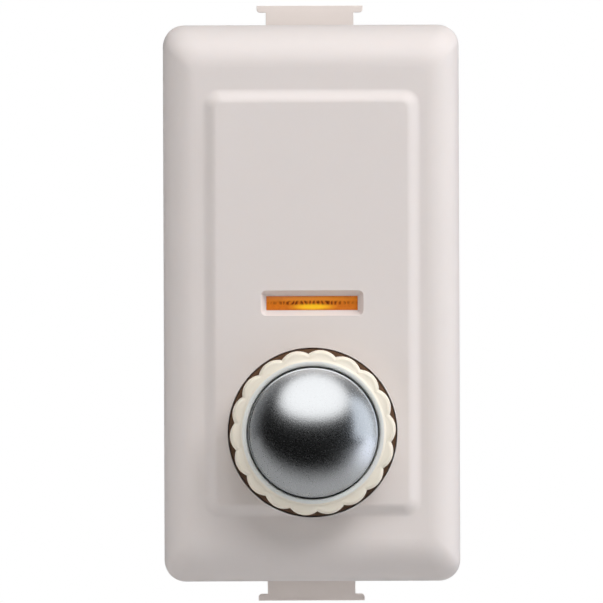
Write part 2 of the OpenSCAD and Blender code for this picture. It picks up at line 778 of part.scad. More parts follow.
// A pair of fixed contacts whose pads start at pad_y, with strips that run back to the board
module contact_pair(pad_y) {
    edge = switch_w/2 - switch_wall;
    for (s = [0, 1]) mirror([s, 0, 0]) {
        block([edge - contact_t - contact_pad, edge], [pad_y, pad_y + contact_t],
            [contact_z, contact_z + contact_h]);
        block([edge - contact_t, edge], [pad_y, board_y], [contact_z, contact_z + contact_h]);
    }
}
module front_contacts() color(copper) at_knob() contact_pair(bridge_y - contact_t - touch_gap);
module rear_contacts() color(copper) at_knob() mirror([0, 0, 1])
    contact_pair(bridge_end_y + push_travel + touch_gap);
module return_spring() color(steel) at_knob() {
    start = bridge_end_y + spring_wire_r + snug;
    rise = switch_back_y - bridge_end_y - 2*(spring_wire_r + snug);
    steps = spring_turns*spring_steps;
    angles = [for (i = [0 : steps]) i*360/spring_steps];
    wire(
        [for (i = [0 : steps]) [spring_r*cos(angles[i]), start + rise*i/steps, spring_r*sin(angles[i])]],
        [for (a = angles) [[cos(a), 0, sin(a)], [0, 1, 0]]],
        spring_wire_r, spring_sides);
}

// ---- Board and its parts ----

module circuit_board() color(board_green) centred_block(board_w, [board_y, board_end_y], board_h);
module choke_core() color(black) translate([choke_at[0], choke_y, choke_at[1]])
    rotate([90, 0, 0]) rotate_extrude() translate([choke_r, 0]) circle(choke_core_r);
module choke_winding() color(copper) translate([choke_at[0], choke_y, choke_at[1]]) {
    steps = choke_turns*choke_steps;
    sweep = 330;
    around = [for (i = [0 : steps]) i*sweep/steps];
    section = [for (i = [0 : steps]) i*360/choke_steps];
    // Outwards from the core's middle line, at each step of the winding
    out = [for (i = [0 : steps])
        [cos(section[i])*cos(around[i]), sin(section[i]), cos(section[i])*sin(around[i])]];
    wire(
        [for (i = [0 : steps])
            choke_r*[cos(around[i]), 0, sin(around[i])] + choke_coil_r*out[i]],
        [for (i = [0 : steps]) [out[i], [-sin(around[i]), 0, cos(around[i])]]],
        choke_wire_r, 6);
}
module suppression_capacitor() color([0.75, 0.20, 0.10]) {
    translate([suppressor_at[0], 0, suppressor_at[1]])
        centred_block(suppressor[0], [suppressor_y, suppressor_y + suppressor[1]], suppressor[2]);
    for (s = [-1, 1])
        translate([suppressor_at[0] + s*suppressor_leads[0], 0, suppressor_at[1] + suppressor_leads[1]])
            rod_y(lead_r, [suppressor_y + suppressor[1], board_y]);
}
module timing_capacitor() color([0.85, 0.55, 0.10]) translate([timer_at[0], 0, timer_at[1]]) {
    centred_block(timer[0], [board_y - timer[1] - board_gap, board_y - board_gap], timer[2]);
    for (s = [-1, 1]) translate([0, 0, s*timer[2]/3]) rod_y(lead_r, [board_y - board_gap - lead_r, board_y]);
}
module resistors() color([0.75, 0.68, 0.50]) for (z = resistor_zs) {
    y = board_y - resistor_r - resistor_lift;
    lead_x = resistor_l/2 + 0.9;
    translate([resistor_x, y, z]) {
        rod_x(resistor_r, [-resistor_l/2, resistor_l/2]);
        rod_x(lead_r, [-lead_x, lead_x]);
        for (s = [-1, 1]) translate([s*lead_x, 0, 0]) rod_y(lead_r, [-lead_r, resistor_r + resistor_lift]);
    }
}
module diac() color([0.20, 0.35, 0.60]) {
    y = board_y - diac_r - resistor_lift;
    lead_z = diac_l/2 + 0.7;
    translate([diac_at[0], y, diac_at[1]]) {
        rod_z(diac_r, [-diac_l/2, diac_l/2]);
        rod_z(lead_r, [-lead_z, lead_z]);
        for (s = [-1, 1]) translate([0, 0, s*lead_z]) rod_y(lead_r, [-lead_r, diac_r + resistor_lift]);
    }
}
module triac() color(black) difference() {
    end_y = board_y - triac_lift;
    start_y = end_y - triac_size[1];
    back_x = triac_x + triac_size[0];
    mid_z = triac_z + triac_size[2]/2;
    union() {
        block([triac_x, back_x], [start_y, end_y], [triac_z, triac_z + triac_size[2]]);
        block([back_x - triac_tab_t, back_x], [start_y - triac_tab_l, start_y + through],
            [triac_z, triac_z + triac_size[2]]);
        for (i = [-1 : 1]) translate([triac_x + triac_size[0]/2, 0, mid_z + i*triac_size[2]/3])
            centred_block(triac_leg_w, [end_y - through, board_y], triac_leg_w);
    }
    translate([0, start_y - triac_tab_l/2, mid_z])
        rod_x(triac_screw_r + touch_gap, [back_x - triac_tab_t - through, back_x + through]);
}
module heat_sink() color(steel) difference() {
    sink_x = triac_x + triac_size[0];
    block([sink_x, sink_x + sink_t], [pot_y + 0.3, board_y - board_gap], sink_z);
    triac_screw_place() rod_x(triac_screw_r + snug, [0, 2*triac_size[0]]);
}
module triac_screw_place() {
    start_y = board_y - triac_lift - triac_size[1];
    translate([triac_x, start_y - triac_tab_l/2, triac_z + triac_size[2]/2]) children();
}
module triac_screw() color(steel) triac_screw_place() {
    tab_x = triac_size[0] - triac_tab_t;
    rod_x(triac_screw_r, [tab_x - running, triac_size[0] + sink_t]);
    rod_x(triac_head_r, [tab_x - triac_head_t, tab_x]);
}

// ---- Fuse drawer ----

function strip_mid(s) = s == 0 ? fuse_y + fuse_cap_l/2 : fuse_end_y - fuse_cap_l/2;

module fuse_carrier() color(black) translate([fuse_x, 0, 0]) difference() {
    bay = 2*(fuse_r + fuse_gap);
    side = carrier_w/2;
    centred_block(carrier_w, [carrier_y, rear_end_y + carrier_grip], carrier_w);
    block([-side - through, bay/2], [fuse_y - fuse_gap, fuse_end_y + fuse_gap], [-bay/2, bay/2]);
    block([-side - through, -fuse_r], [carrier_y - through, fuse_y], [-bay/2, bay/2]);
    for (s = [0, 1]) mirror([0, 0, s])
        block([-side/2, side/2], [rear_end_y + fuse_gap, rear_end_y + carrier_grip/2],
              [side - grip_notch, side + through]);
}
module fuse_glass() color(glass_tint) translate([fuse_x, 0, 0])
    ring_y(fuse_glass_r, fuse_bore_r, [fuse_y + fuse_cap_t, fuse_end_y - fuse_cap_t]);
module fuse_wire() color(steel) translate([fuse_x, 0, 0])
    rod_y(fuse_wire_r, [fuse_y + fuse_cap_t, fuse_end_y - fuse_cap_t]);
module fuse_cup() {
    difference() {
        rod_y(fuse_r, [0, fuse_cap_l]);
        rod_y(fuse_glass_r + snug, [fuse_cap_t, fuse_cap_l + through]);
    }
}
module fuse_caps() color(brass) translate([fuse_x, 0, 0]) {
    translate([0, fuse_y, 0]) fuse_cup();
    translate([0, fuse_end_y, 0]) mirror([0, 1, 0]) fuse_cup();
}
module fuse_clips() color(copper) for (s = [0, 1]) mirror([0, 0, s]) {
    z = [strip_z, strip_z + strip_w];
    mid = strip_mid(s);
    block([strip_x - clip_pad_t, strip_x], [board_end_y, mid + clip_pad_t/2], z);
    block([strip_x - clip_pad_t, clip_pad_x], [mid - clip_pad_t/2, mid + clip_pad_t/2], z);
    block([clip_pad_x - clip_pad_t, clip_pad_x], [mid - clip_pad_l/2, mid + clip_pad_l/2], z);
}

// ---- Terminals ----

module terminal(at) color(brass) at_terminal(at) {
    difference() {
        block([-cage_w/2, cage_w/2], [cage_y, cage_end_y], [cage_under_z, cage_top_z]);
        block([cage_wall - cage_w/2, cage_w/2 - cage_wall], [cage_y - through, cage_end_y + through],
            [cage_floor_z, cage_top_z - cage_roof]);
        translate([0, screw_y, 0]) rod_z(screw_r + running, [cage_floor_z, cage_top_z + through]);
    }
    block([-tab_w/2, tab_w/2], [board_end_y, cage_y], [cage_under_z, cage_under_z + tab_t]);
}
module clamp_plate(at) color(steel) at_terminal(at) difference() {
    half = cage_w/2 - cage_wall - fit;
    block([-half, half], [cage_y + fit, cage_end_y - fit], [clamp_z, clamp_top_z]);
    translate([0, screw_y, 0]) rod_z(screw_tip_r + running, [clamp_z + clamp_t/3, clamp_top_z + through]);
}
module clamp_screw(at) color(steel) at_terminal(at) translate([0, screw_y, 0]) difference() {
    union() {
        rod_z(screw_tip_r, [clamp_z + clamp_t/3 + running, clamp_top_z + 2*touch_gap]);
        rod_z(screw_r, [clamp_top_z + touch_gap, screw_head_z + running]);
        rod_z(screw_head_r, [screw_head_z, screw_head_z + screw_head_t]);
    }
    block([-screw_head_r - through, screw_head_r + through], [-screw_slot_w/2, screw_slot_w/2],
        [screw_head_z + screw_head_t - screw_slot_d, screw_head_z + screw_head_t + through]);
}
module terminal_common() terminal(common_at);
module terminal_one() terminal(one_at);
module terminal_two() terminal(two_at);
module clamp_plate_common() clamp_plate(common_at);
module clamp_plate_one() clamp_plate(one_at);
module clamp_plate_two() clamp_plate(two_at);
module clamp_screw_common() clamp_screw(common_at);
module clamp_screw_one() clamp_screw(one_at);
module clamp_screw_two() clamp_screw(two_at);

front_cover();
indicator_lens();
lamp_bulb();
lamp_electrodes();
chassis();
rear_housing();
rear_cover();
rear_cover_screws();
upper_latch();
lower_latch();
knob_cap();
knob_collar();
knob_hub();
shaft();
shaft_clip();
bushing();
bushing_washer();
bushing_nut();
potentiometer_case();
potentiometer_rotor();
wiper();
resistance_track();
potentiometer_pins();
switch_case();
switch_plunger();
contact_bridge();
return_spring();
front_contacts();
rear_contacts();
circuit_board();
choke_core();
choke_winding();
suppression_capacitor();
timing_capacitor();
resistors();
diac();
triac();
heat_sink();
triac_screw();
fuse_carrier();
fuse_glass();
fuse_wire();
fuse_caps();
fuse_clips();
terminal_common();
terminal_one();
terminal_two();
clamp_plate_common();
clamp_plate_one();
clamp_plate_two();
clamp_screw_common();
clamp_screw_one();
clamp_screw_two();
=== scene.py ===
# %% [markdown]
# # A rotary dimmer module, finished for rendering
# The part is a one-module dimmer that snaps into a wiring frame. Its construction arrives as a
# fixed frame: every piece already sits at its real place and size. This lesson models the pieces
# that are seen most closely (the cover, the knob, the cap, the lens and the latches), softens the
# edges of the moulded shells behind them, and gives every other piece a finish of its own.

# %% Load the frame
import math
import bmesh
import bpy
from mathutils import Euler, Matrix, Vector


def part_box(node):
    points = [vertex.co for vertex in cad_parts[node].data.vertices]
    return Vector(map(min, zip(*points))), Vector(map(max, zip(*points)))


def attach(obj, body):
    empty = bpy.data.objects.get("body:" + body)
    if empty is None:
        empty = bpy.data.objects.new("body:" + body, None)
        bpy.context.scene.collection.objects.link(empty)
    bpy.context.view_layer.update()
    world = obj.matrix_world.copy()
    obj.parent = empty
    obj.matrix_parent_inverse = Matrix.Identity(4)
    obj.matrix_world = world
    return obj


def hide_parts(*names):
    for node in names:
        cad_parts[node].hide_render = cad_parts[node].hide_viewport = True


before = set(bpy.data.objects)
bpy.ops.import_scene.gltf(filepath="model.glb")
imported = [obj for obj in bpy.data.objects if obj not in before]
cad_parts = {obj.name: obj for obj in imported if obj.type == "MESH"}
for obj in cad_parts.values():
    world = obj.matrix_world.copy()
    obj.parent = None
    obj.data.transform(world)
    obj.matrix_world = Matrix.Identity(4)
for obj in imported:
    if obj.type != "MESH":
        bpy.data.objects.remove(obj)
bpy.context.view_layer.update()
print("pieces in the frame:", len(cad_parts))

# %% [markdown]
# Blender works in metres, and this part is drawn in millimetres, so one helper does the change.
# The overall sizes are read from the frame. What the frame's boxes don't tell, such as how far an
# edge is rounded, is named here.

# %% Sizes
MM = 0.001


def mm(*values):
    """Millimetres to metres: one number, or several as a vector."""
    return values[0]*MM if len(values) == 1 else Vector(values)*MM


cover_low, cover_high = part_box("front_cover")
half_w, half_h, panel_y = cover_high.x, cover_high.z, cover_low.y
collar_low, collar_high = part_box("knob_collar")
knob_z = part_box("knob_cap")[0].z/2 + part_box("knob_cap")[1].z/2
lip_y, base_y = collar_low.y, collar_high.y
cap_low, cap_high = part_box("knob_cap")
cap_r = (cap_high.x - cap_low.x)/2
lens_low, lens_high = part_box("indicator_lens")
print("cover:", round(2*half_w/MM, 2), "x", round(2*half_h/MM, 2), "mm; knob axis at z", round(knob_z/MM, 2))

# %% [markdown]
# ## The camera
# A product of this kind is photographed straight on with a long lens from far away, which keeps its
# edges parallel. The camera stands a hair to the left and above, and leans by a fifth of a degree.

# %% Camera
CAMERA_FAR = 2.0
SEEN_WIDTH = mm(48.86)
AIM = mm(-0.79, -2.0, 0.13)
camera_data = bpy.data.cameras.new("long_lens")
camera_data.lens = camera_data.sensor_width*CAMERA_FAR/SEEN_WIDTH
camera_data.clip_start = 0.01
camera = bpy.data.objects.new("camera", camera_data)
bpy.context.scene.collection.objects.link(camera)
side, rise, lean = math.radians(-0.6), math.radians(0.0), math.radians(-0.2)
away = Vector((math.sin(side)*math.cos(rise), -math.cos(side)*math.cos(rise), math.sin(rise)))
camera.location = AIM + away*CAMERA_FAR
camera.rotation_euler = (away.to_track_quat("Z", "Y") @ Euler((0, 0, lean)).to_quaternion()).to_euler()
bpy.context.scene.camera = camera
print("lens:", round(camera_data.lens), "mm")

# %% [markdown]
# ## The studio
# A polished dome mirrors the whole room, so the room is what gives it its look: one large softbox
# overhead, a narrow white card at the right, a pale floor below and a dark room behind the camera.
# The world is white to the camera, so the backdrop is plain white from every side. To glossy rays
# it is white only from the side that the backdrop stands on, and dark where the dark room is.

# %% Studio
scene = bpy.context.scene
scene.view_settings.view_transform = "Standard"


def area_light(name, place, target, width, height, power, colour=(1, 1, 1)):
    """A soft oval light that faces its target."""
    data = bpy.data.lights.new(name, "AREA")
    data.shape, data.size, data.size_y = "ELLIPSE", width, height
    data.energy, data.color = power, colour
    light = bpy.data.objects.new(name, data)
    light.location = place
    light.rotation_euler = (Vector(place) - Vector(target)).to_track_quat("Z", "Y").to_euler()
    scene.collection.objects.link(light)
    return light


def feather(light, core):
    """Fades a lamp from its full strength at the core to nothing at its rim."""
    light.data.use_nodes = True
    nodes, links = light.data.node_tree.nodes, light.data.node_tree.links
    off_centre = nodes.new("ShaderNodeVectorMath")
    off_centre.operation = "SUBTRACT"
    off_centre.inputs[1].default_value = (0.5, 0.5, 0)
    links.new(nodes.new("ShaderNodeNewGeometry").outputs["Parametric"], off_centre.inputs[0])
    from_centre = nodes.new("ShaderNodeVectorMath")
    from_centre.operation = "LENGTH"
    links.new(off_centre.outputs["Vector"], from_centre.inputs[0])
    fade = nodes.new("ShaderNodeMapRange")
    fade.interpolation_type = "SMOOTHSTEP"
    for name, value in (("From Min", core), ("From Max", 0.5), ("To Min", 1.0), ("To Max", 0.0)):
        fade.inputs[name].default_value = value
    links.new(from_centre.outputs["Value"], fade.inputs["Value"])
    links.new(fade.outputs["Result"], nodes["Emission"].inputs["Strength"])


def seen_from(elevation, sideways, distance):
    """A place as seen from the part: elevation up from straight ahead, then sideways to the right."""
    up, right = math.radians(elevation), math.radians(sideways)
    return Vector((math.sin(right), -math.cos(up)*math.cos(right), math.sin(up)*math.cos(right)))*distance


KNOB_FACE = Vector((0, lip_y, knob_z))
SOFTBOX, CARD = seen_from(57, 2, 0.6), seen_from(-10, 76, 0.5)
COOL, CARD_SHEEN = (0.86, 0.92, 1.0), 0.85
softbox = area_light("softbox", KNOB_FACE + seen_from(54, 14, 0.6), KNOB_FACE, 0.60, 0.45, 2.55)
side_card = area_light("side_card", KNOB_FACE + CARD, KNOB_FACE, 0.34, 0.66, 1.15, COOL)
top_bank = area_light("top_bank", KNOB_FACE + seen_from(64, 34, 0.5), KNOB_FACE, 0.34, 0.28, 1.3)
left_fill = area_light("left_fill", KNOB_FACE + seen_from(0, -80, 0.5), KNOB_FACE, 0.5, 0.6, 1.6)
for light in (softbox, side_card, top_bank, left_fill):
    light.visible_glossy = False
softbox_sheen = area_light("softbox_sheen", KNOB_FACE + SOFTBOX, KNOB_FACE, 1.56, 1.20, 6.8)
softbox_sheen.visible_diffuse = False
feather(softbox_sheen, 0.30)
for step in range(3):
    scale = 1.0 - 0.24*step
    card_sheen = area_light(f"card_sheen_{step + 1}", KNOB_FACE + seen_from(0, 83, 0.5), KNOB_FACE,
                            0.36*scale, 0.90*scale, CARD_SHEEN*scale**2, COOL)
    card_sheen.visible_diffuse = False

world = bpy.data.worlds.new("studio")
scene.world = world
world.use_nodes = True
wn, wl = world.node_tree.nodes, world.node_tree.links
wn.clear()
FILL, FILL_TILT = 0.03, (0.0, 0.0, 0.0)
ROOM_FRONT, ROOM_BACK = 0.0, 0.35
direction = wn.new("ShaderNodeTexCoord").outputs["Generated"]


def world_light(tone, strength):
    """A background of one colour, with a plain strength or one that comes from another node."""
    background = wn.new("ShaderNodeBackground")
    background.inputs["Color"].default_value = (*tone, 1)
    if isinstance(strength, (int, float)):
        background.inputs["Strength"].default_value = strength
    else:
        wl.new(strength, background.inputs["Strength"])
    return background.outputs[0]


def choose(when, otherwise, chosen):
    """One background or the other, by a light path's answer."""
    mix = wn.new("ShaderNodeMixShader")
    wl.new(when, mix.inputs[0])
    wl.new(otherwise, mix.inputs[1])
    wl.new(chosen, mix.inputs[2])
    return mix.outputs[0]


tilt = wn.new("ShaderNodeVectorMath")
tilt.operation = "DOT_PRODUCT"
tilt.inputs[1].default_value = FILL_TILT
wl.new(direction, tilt.inputs[0])
fill_strength = wn.new("ShaderNodeMath")
fill_strength.operation = "ADD"
fill_strength.inputs[1].default_value = FILL
wl.new(tilt.outputs["Value"], fill_strength.inputs[0])
split = wn.new("ShaderNodeSeparateXYZ")
wl.new(direction, split.inputs[0])
behind = wn.new("ShaderNodeMapRange")
behind.interpolation_type = "SMOOTHSTEP"
for socket, value in (("From Min", -0.2), ("From Max", 0.4), ("To Min", ROOM_FRONT), ("To Max", ROOM_BACK)):
    behind.inputs[socket].default_value = value
wl.new(split.outputs["Y"], behind.inputs["Value"])
path = wn.new("ShaderNodeLightPath")
mirror_like = wn.new("ShaderNodeMath")
mirror_like.operation = "MAXIMUM"
wl.new(path.outputs["Is Glossy Ray"], mirror_like.inputs[0])
wl.new(path.outputs["Is Transmission Ray"], mirror_like.inputs[1])
fill = world_light((1.0, 0.985, 0.97), fill_strength.outputs[0])
room = world_light((0.97, 0.985, 1.0), behind.outputs["Result"])
white = world_light((1, 1, 1), 1.0)
world_out = wn.new("ShaderNodeOutputWorld")
seen = choose(path.outputs["Is Camera Ray"], choose(mirror_like.outputs[0], fill, room), white)
wl.new(seen, world_out.inputs[0])

# %% [markdown]
# The module is held by its frame and stands on nothing, so the floor lies well below it. It is pale
# and matt, and wide enough that its edge doesn't show from any side.

# %% Floor
FLOOR_DROP = 0.075
floor_mesh = bpy.data.meshes.new("floor")
floor_bm = bmesh.new()
bmesh.ops.create_grid(floor_bm, x_segments=1, y_segments=1, size=0.6, matrix=Matrix.Translation((0, 0, -FLOOR_DROP)))
floor_bm.to_mesh(floor_mesh)
floor_bm.free()
floor = bpy.data.objects.new("floor", floor_mesh)
scene.collection.objects.link(floor)

# %% [markdown]
# ## Materials
# Each finish is a small tree of nodes. They all read Object coordinates, in metres, so a grain of
# 0.1 mm is a noise of scale 10000. One helper makes a Principled material whose colour wanders a
# little and whose surface has a fine bump, which is what moulded plastic and plated metal need.

# %% Material helpers


def new_material(name):
    """An empty node material and its Principled shader."""
    material = bpy.data.materials.new(name)
    material.use_nodes = True
    return material, material.node_tree.nodes, material.node_tree.links, material.node_tree.nodes["Principled BSDF"]


def colour(r, g, b):
    """A colour as it is seen on a screen (0 to 255), in the linear values that shaders use."""
    def linear(v):
        v = v/255
        return v/12.92 if v <= 0.04045 else ((v + 0.055)/1.055)**2.4
    return (linear(r), linear(g), linear(b), 1)


def noise(nodes, links, coords, scale, detail=2.0, roughness=0.5):
    """A noise in Object coordinates; scale is in features per metre."""
    texture = nodes.new("ShaderNodeTexNoise")
    texture.inputs["Scale"].default_value = scale
    texture.inputs["Detail"].default_value = detail
    texture.inputs["Roughness"].default_value = roughness
    links.new(coords, texture.inputs["Vector"])
    return texture


def grained(name, tone, rough, grain, depth, metallic=0.0, wander=0.03, wander_scale=250, rough_swing=0.04, stretch=None):
    """Plastic or metal with a colour that wanders a little, a fine bump and an uneven gloss."""
    material, nodes, links, shader = new_material(name)
    coords = nodes.new("ShaderNodeTexCoord").outputs["Object"]
    if stretch:
        mapping = nodes.new("ShaderNodeMapping")
        mapping.inputs["Scale"].default_value = stretch
        links.new(coords, mapping.inputs["Vector"])
        coords = mapping.outputs[0]
    cloud = noise(nodes, links, coords, wander_scale, 3)
    mix = nodes.new("ShaderNodeMix")
    mix.data_type = "RGBA"
    mix.inputs["A"].default_value = [c*(1 - wander) for c in tone[:3]] + [1]
    mix.inputs["B"].default_value = [min(1, c*(1 + wander)) for c in tone[:3]] + [1]
    links.new(cloud.outputs["Fac"], mix.inputs["Factor"])
    links.new(mix.outputs["Result"], shader.inputs["Base Color"])
    fine = noise(nodes, links, coords, grain, 4, 0.6)
    gloss = nodes.new("ShaderNodeMapRange")
    gloss.inputs["To Min"].default_value = rough - rough_swing
    gloss.inputs["To Max"].default_value = rough + rough_swing
    links.new(fine.outputs["Fac"], gloss.inputs["Value"])
    links.new(gloss.outputs["Result"], shader.inputs["Roughness"])
    bump = nodes.new("ShaderNodeBump")
    bump.inputs["Strength"].default_value = 1.0
    bump.inputs["Distance"].default_value = depth
    links.new(fine.outputs["Fac"], bump.inputs["Height"])
    links.new(bump.outputs["Normal"], shader.inputs["Normal"])
    shader.inputs["Metallic"].default_value = metallic
    return material


# %% [markdown]
# The cover is moulded in a warm ivory with a satin surface. Light goes a little way into such
# plastic, so it has some subsurface scattering, which softens the shading of its shallow steps.

# %% Plastic finishes
ivory = grained("ivory_plastic", colour(214, 206, 203), 0.46, 9000, mm(0.0012), wander=0.008)
ivory_shader = ivory.node_tree.nodes["Principled BSDF"]
ivory_shader.inputs["Subsurface Weight"].default_value = 0.12
ivory_shader.inputs["Subsurface Radius"].default_value = (1.0, 0.75, 0.6)
ivory_shader.inputs["Subsurface Scale"].default_value = mm(0.6)
ivory_shader.inputs["Specular IOR Level"].default_value = 0.4
# The latches are the same ivory painted lighter: a painted highlight for light falling from above.
latch_ivory_painted_light = grained("latch_ivory_painted_light", colour(236, 226, 220), 0.42, 9000, mm(0.0012), wander=0.008)
cream = grained("cream_plastic", colour(226, 218, 203), 0.42, 7000, mm(0.002), wander=0.02, wander_scale=700)
cream_shader = cream.node_tree.nodes["Principled BSDF"]
cream_shader.inputs["Subsurface Weight"].default_value = 0.12
cream_shader.inputs["Subsurface Radius"].default_value = (1.0, 0.75, 0.55)
cream_shader.inputs["Subsurface Scale"].default_value = mm(0.5)
cn, cl = cream.node_tree.nodes, cream.node_tree.links
# The lip round the cap is painted a cooler grey: a painted reflection of the chrome cap in its bevel.
from_axis = cn.new("ShaderNodeVectorMath")
from_axis.operation = "SUBTRACT"
from_axis.inputs[1].default_value = (0, 0, knob_z)
cl.new(cn.new("ShaderNodeTexCoord").outputs["Object"], from_axis.inputs[0])
flat_distance = cn.new("ShaderNodeVectorMath")
flat_distance.operation = "MULTIPLY"
flat_distance.inputs[1].default_value = (1, 0, 1)
cl.new(from_axis.outputs[0], flat_distance.inputs[0])
radius_node = cn.new("ShaderNodeVectorMath")
radius_node.operation = "LENGTH"
cl.new(flat_distance.outputs[0], radius_node.inputs[0])
lip_reflection_mask = cn.new("ShaderNodeMapRange")
lip_reflection_mask.interpolation_type = "SMOOTHSTEP"
lip_reflection_mask.inputs["From Min"].default_value = mm(5.78)
lip_reflection_mask.inputs["From Max"].default_value = mm(5.70)
cl.new(radius_node.outputs["Value"], lip_reflection_mask.inputs["Value"])
lip_painted_reflection = cn.new("ShaderNodeMix")
lip_painted_reflection.data_type = "RGBA"
lip_painted_reflection.inputs["B"].default_value = colour(214, 215, 212)
cl.new(lip_reflection_mask.outputs["Result"], lip_painted_reflection.inputs["Factor"])
cl.new(cream_shader.inputs["Base Color"].links[0].from_socket, lip_painted_reflection.inputs["A"])
cl.new(lip_painted_reflection.outputs["Result"], cream_shader.inputs["Base Color"])
brown = grained("brown_plastic", colour(88, 62, 42), 0.5, 7000, mm(0.002), wander=0.08, wander_scale=900)
black = grained("black_plastic", colour(38, 38, 40), 0.45, 6000, mm(0.002), wander=0.1)
natural = grained("natural_plastic", colour(226, 221, 208), 0.4, 6000, mm(0.002))
board = grained("board_laminate", colour(34, 92, 52), 0.35, 4000, mm(0.004), wander=0.12, wander_scale=1500)
red_dip = grained("red_dip", colour(168, 44, 28), 0.22, 3000, mm(0.004), wander=0.05)
orange_dip = grained("orange_dip", colour(204, 122, 34), 0.22, 3000, mm(0.004), wander=0.05)
lacquer = grained("resistor_lacquer", colour(196, 176, 132), 0.28, 4000, mm(0.003), wander=0.05)
blue_case = grained("blue_case", colour(58, 92, 150), 0.25, 4000, mm(0.003), wander=0.05)
ferrite = grained("ferrite", colour(44, 44, 47), 0.55, 5000, mm(0.006), wander=0.15, wander_scale=2500)
floor_finish = grained("floor_paper", colour(225, 225, 225), 0.8, 900, mm(0.02), wander=0.01, wander_scale=30)
floor_mesh.materials.append(floor_finish)

# %% [markdown]
# The polished cap mirrors the floor too. Towards the camera the floor runs into the dark of the
# room, so to glossy rays it is painted black there, while the eye and the diffuse light see plain
# paper. To glossy rays only, its right side is given a painted pool of cool light, which the cap mirrors.

# %% Floor's fade and painted pool of light
fn, fl = floor_finish.node_tree.nodes, floor_finish.node_tree.links
floor_split = fn.new("ShaderNodeSeparateXYZ")
fl.new(fn.new("ShaderNodeTexCoord").outputs["Object"], floor_split.inputs[0])
fade = fn.new("ShaderNodeMapRange")
fade.interpolation_type = "SMOOTHSTEP"
for socket, value in (("From Min", -0.012), ("From Max", -0.070), ("To Min", 0.35), ("To Max", 1.0)):
    fade.inputs[socket].default_value = value
fl.new(floor_split.outputs["Y"], fade.inputs["Value"])
floor_path = fn.new("ShaderNodeLightPath")
painted_black_amount = fn.new("ShaderNodeMath")
painted_black_amount.operation = "MULTIPLY"
fl.new(fade.outputs["Result"], painted_black_amount.inputs[0])
fl.new(floor_path.outputs["Is Glossy Ray"], painted_black_amount.inputs[1])
dark = fn.new("ShaderNodeBsdfDiffuse")
dark.inputs["Color"].default_value = (0.005, 0.005, 0.005, 1)
# A painted pool of cool light on the floor's right side, seen by glossy rays only.
painted_pool_side = fn.new("ShaderNodeMapRange")
painted_pool_side.interpolation_type = "SMOOTHSTEP"
for socket, value in (("From Min", 0.03), ("From Max", 0.20), ("To Min", 0.0), ("To Max", 0.6)):
    painted_pool_side.inputs[socket].default_value = value
fl.new(floor_split.outputs["X"], painted_pool_side.inputs["Value"])
painted_pool_amount = fn.new("ShaderNodeMath")
painted_pool_amount.operation = "MULTIPLY"
painted_pool_depth = fn.new("ShaderNodeMapRange")
painted_pool_depth.interpolation_type = "SMOOTHSTEP"
for socket, value in (("From Min", -0.13), ("From Max", -0.03), ("To Min", 0.0), ("To Max", 1.0)):
    painted_pool_depth.inputs[socket].default_value = value
fl.new(floor_split.outputs["Y"], painted_pool_depth.inputs["Value"])
painted_pool_area = fn.new("ShaderNodeMath")
painted_pool_area.operation = "MULTIPLY"
fl.new(painted_pool_side.outputs["Result"], painted_pool_area.inputs[0])
fl.new(painted_pool_depth.outputs["Result"], painted_pool_area.inputs[1])
fl.new(painted_pool_area.outputs[0], painted_pool_amount.inputs[0])
fl.new(floor_path.outputs["Is Glossy Ray"], painted_pool_amount.inputs[1])
fn["Principled BSDF"].inputs["Emission Color"].default_value = colour(222, 232, 255)
fl.new(painted_pool_amount.outputs[0], fn["Principled BSDF"].inputs["Emission Strength"])
painted_dark_fade = fn.new("ShaderNodeMath")
painted_dark_fade.operation = "SUBTRACT"
painted_dark_fade.use_clamp = True
fl.new(painted_black_amount.outputs[0], painted_dark_fade.inputs[0])
fl.new(painted_pool_amount.outputs[0], painted_dark_fade.inputs[1])
floor_mix = fn.new("ShaderNodeMixShader")
fl.new(painted_dark_fade.outputs[0], floor_mix.inputs[0])
fl.new(fn["Principled BSDF"].outputs[0], floor_mix.inputs[1])
fl.new(dark.outputs[0], floor_mix.inputs[2])
fl.new(floor_mix.outputs[0], fn["Material Output"].inputs["Surface"])

# %% [markdown]
# The metals are told apart by colour and by how their grain runs: the cap is bead-blasted and then
# plated, so its grain is even in all directions; turned and rolled parts have theirs stretched.

# %% Metal finishes
satin_chrome = grained("satin_chrome", colour(206, 208, 210), 0.26, 8500, mm(0.006), metallic=1.0, wander=0.03, rough_swing=0.06)
zinc = grained("zinc_steel", colour(196, 198, 202), 0.30, 5000, mm(0.002), metallic=1.0, wander=0.05, stretch=(1, 0.15, 1))
sheet = grained("aluminium_sheet", colour(208, 209, 212), 0.38, 4000, mm(0.002), metallic=1.0, wander=0.04, stretch=(1, 1, 0.1))
brass = grained("brass", colour(206, 172, 104), 0.27, 5000, mm(0.002), metallic=1.0, wander=0.06, stretch=(1, 0.2, 1))
bronze = grained("contact_bronze", colour(196, 130, 86), 0.3, 5000, mm(0.002), metallic=1.0, wander=0.06, stretch=(1, 0.2, 1))
copper = grained("copper_wire", colour(192, 104, 58), 0.25, 5000, mm(0.002), metallic=1.0, wander=0.08)

glass, glass_nodes, glass_links, glass_shader = new_material("clear_glass")
glass_coords = glass_nodes.new("ShaderNodeTexCoord").outputs["Object"]
glass_cloud = noise(glass_nodes, glass_links, glass_coords, 600)
glass_tint = glass_nodes.new("ShaderNodeMix")
glass_tint.data_type = "RGBA"
glass_tint.inputs["A"].default_value = (0.90, 0.94, 0.95, 1)
glass_tint.inputs["B"].default_value = (0.96, 0.98, 0.98, 1)
glass_links.new(glass_cloud.outputs["Fac"], glass_tint.inputs["Factor"])
glass_links.new(glass_tint.outputs["Result"], glass_shader.inputs["Base Color"])
glass_shader.inputs["Transmission Weight"].default_value = 0.95
glass_shader.inputs["Roughness"].default_value = 0.04
print("materials:", len(bpy.data.materials))

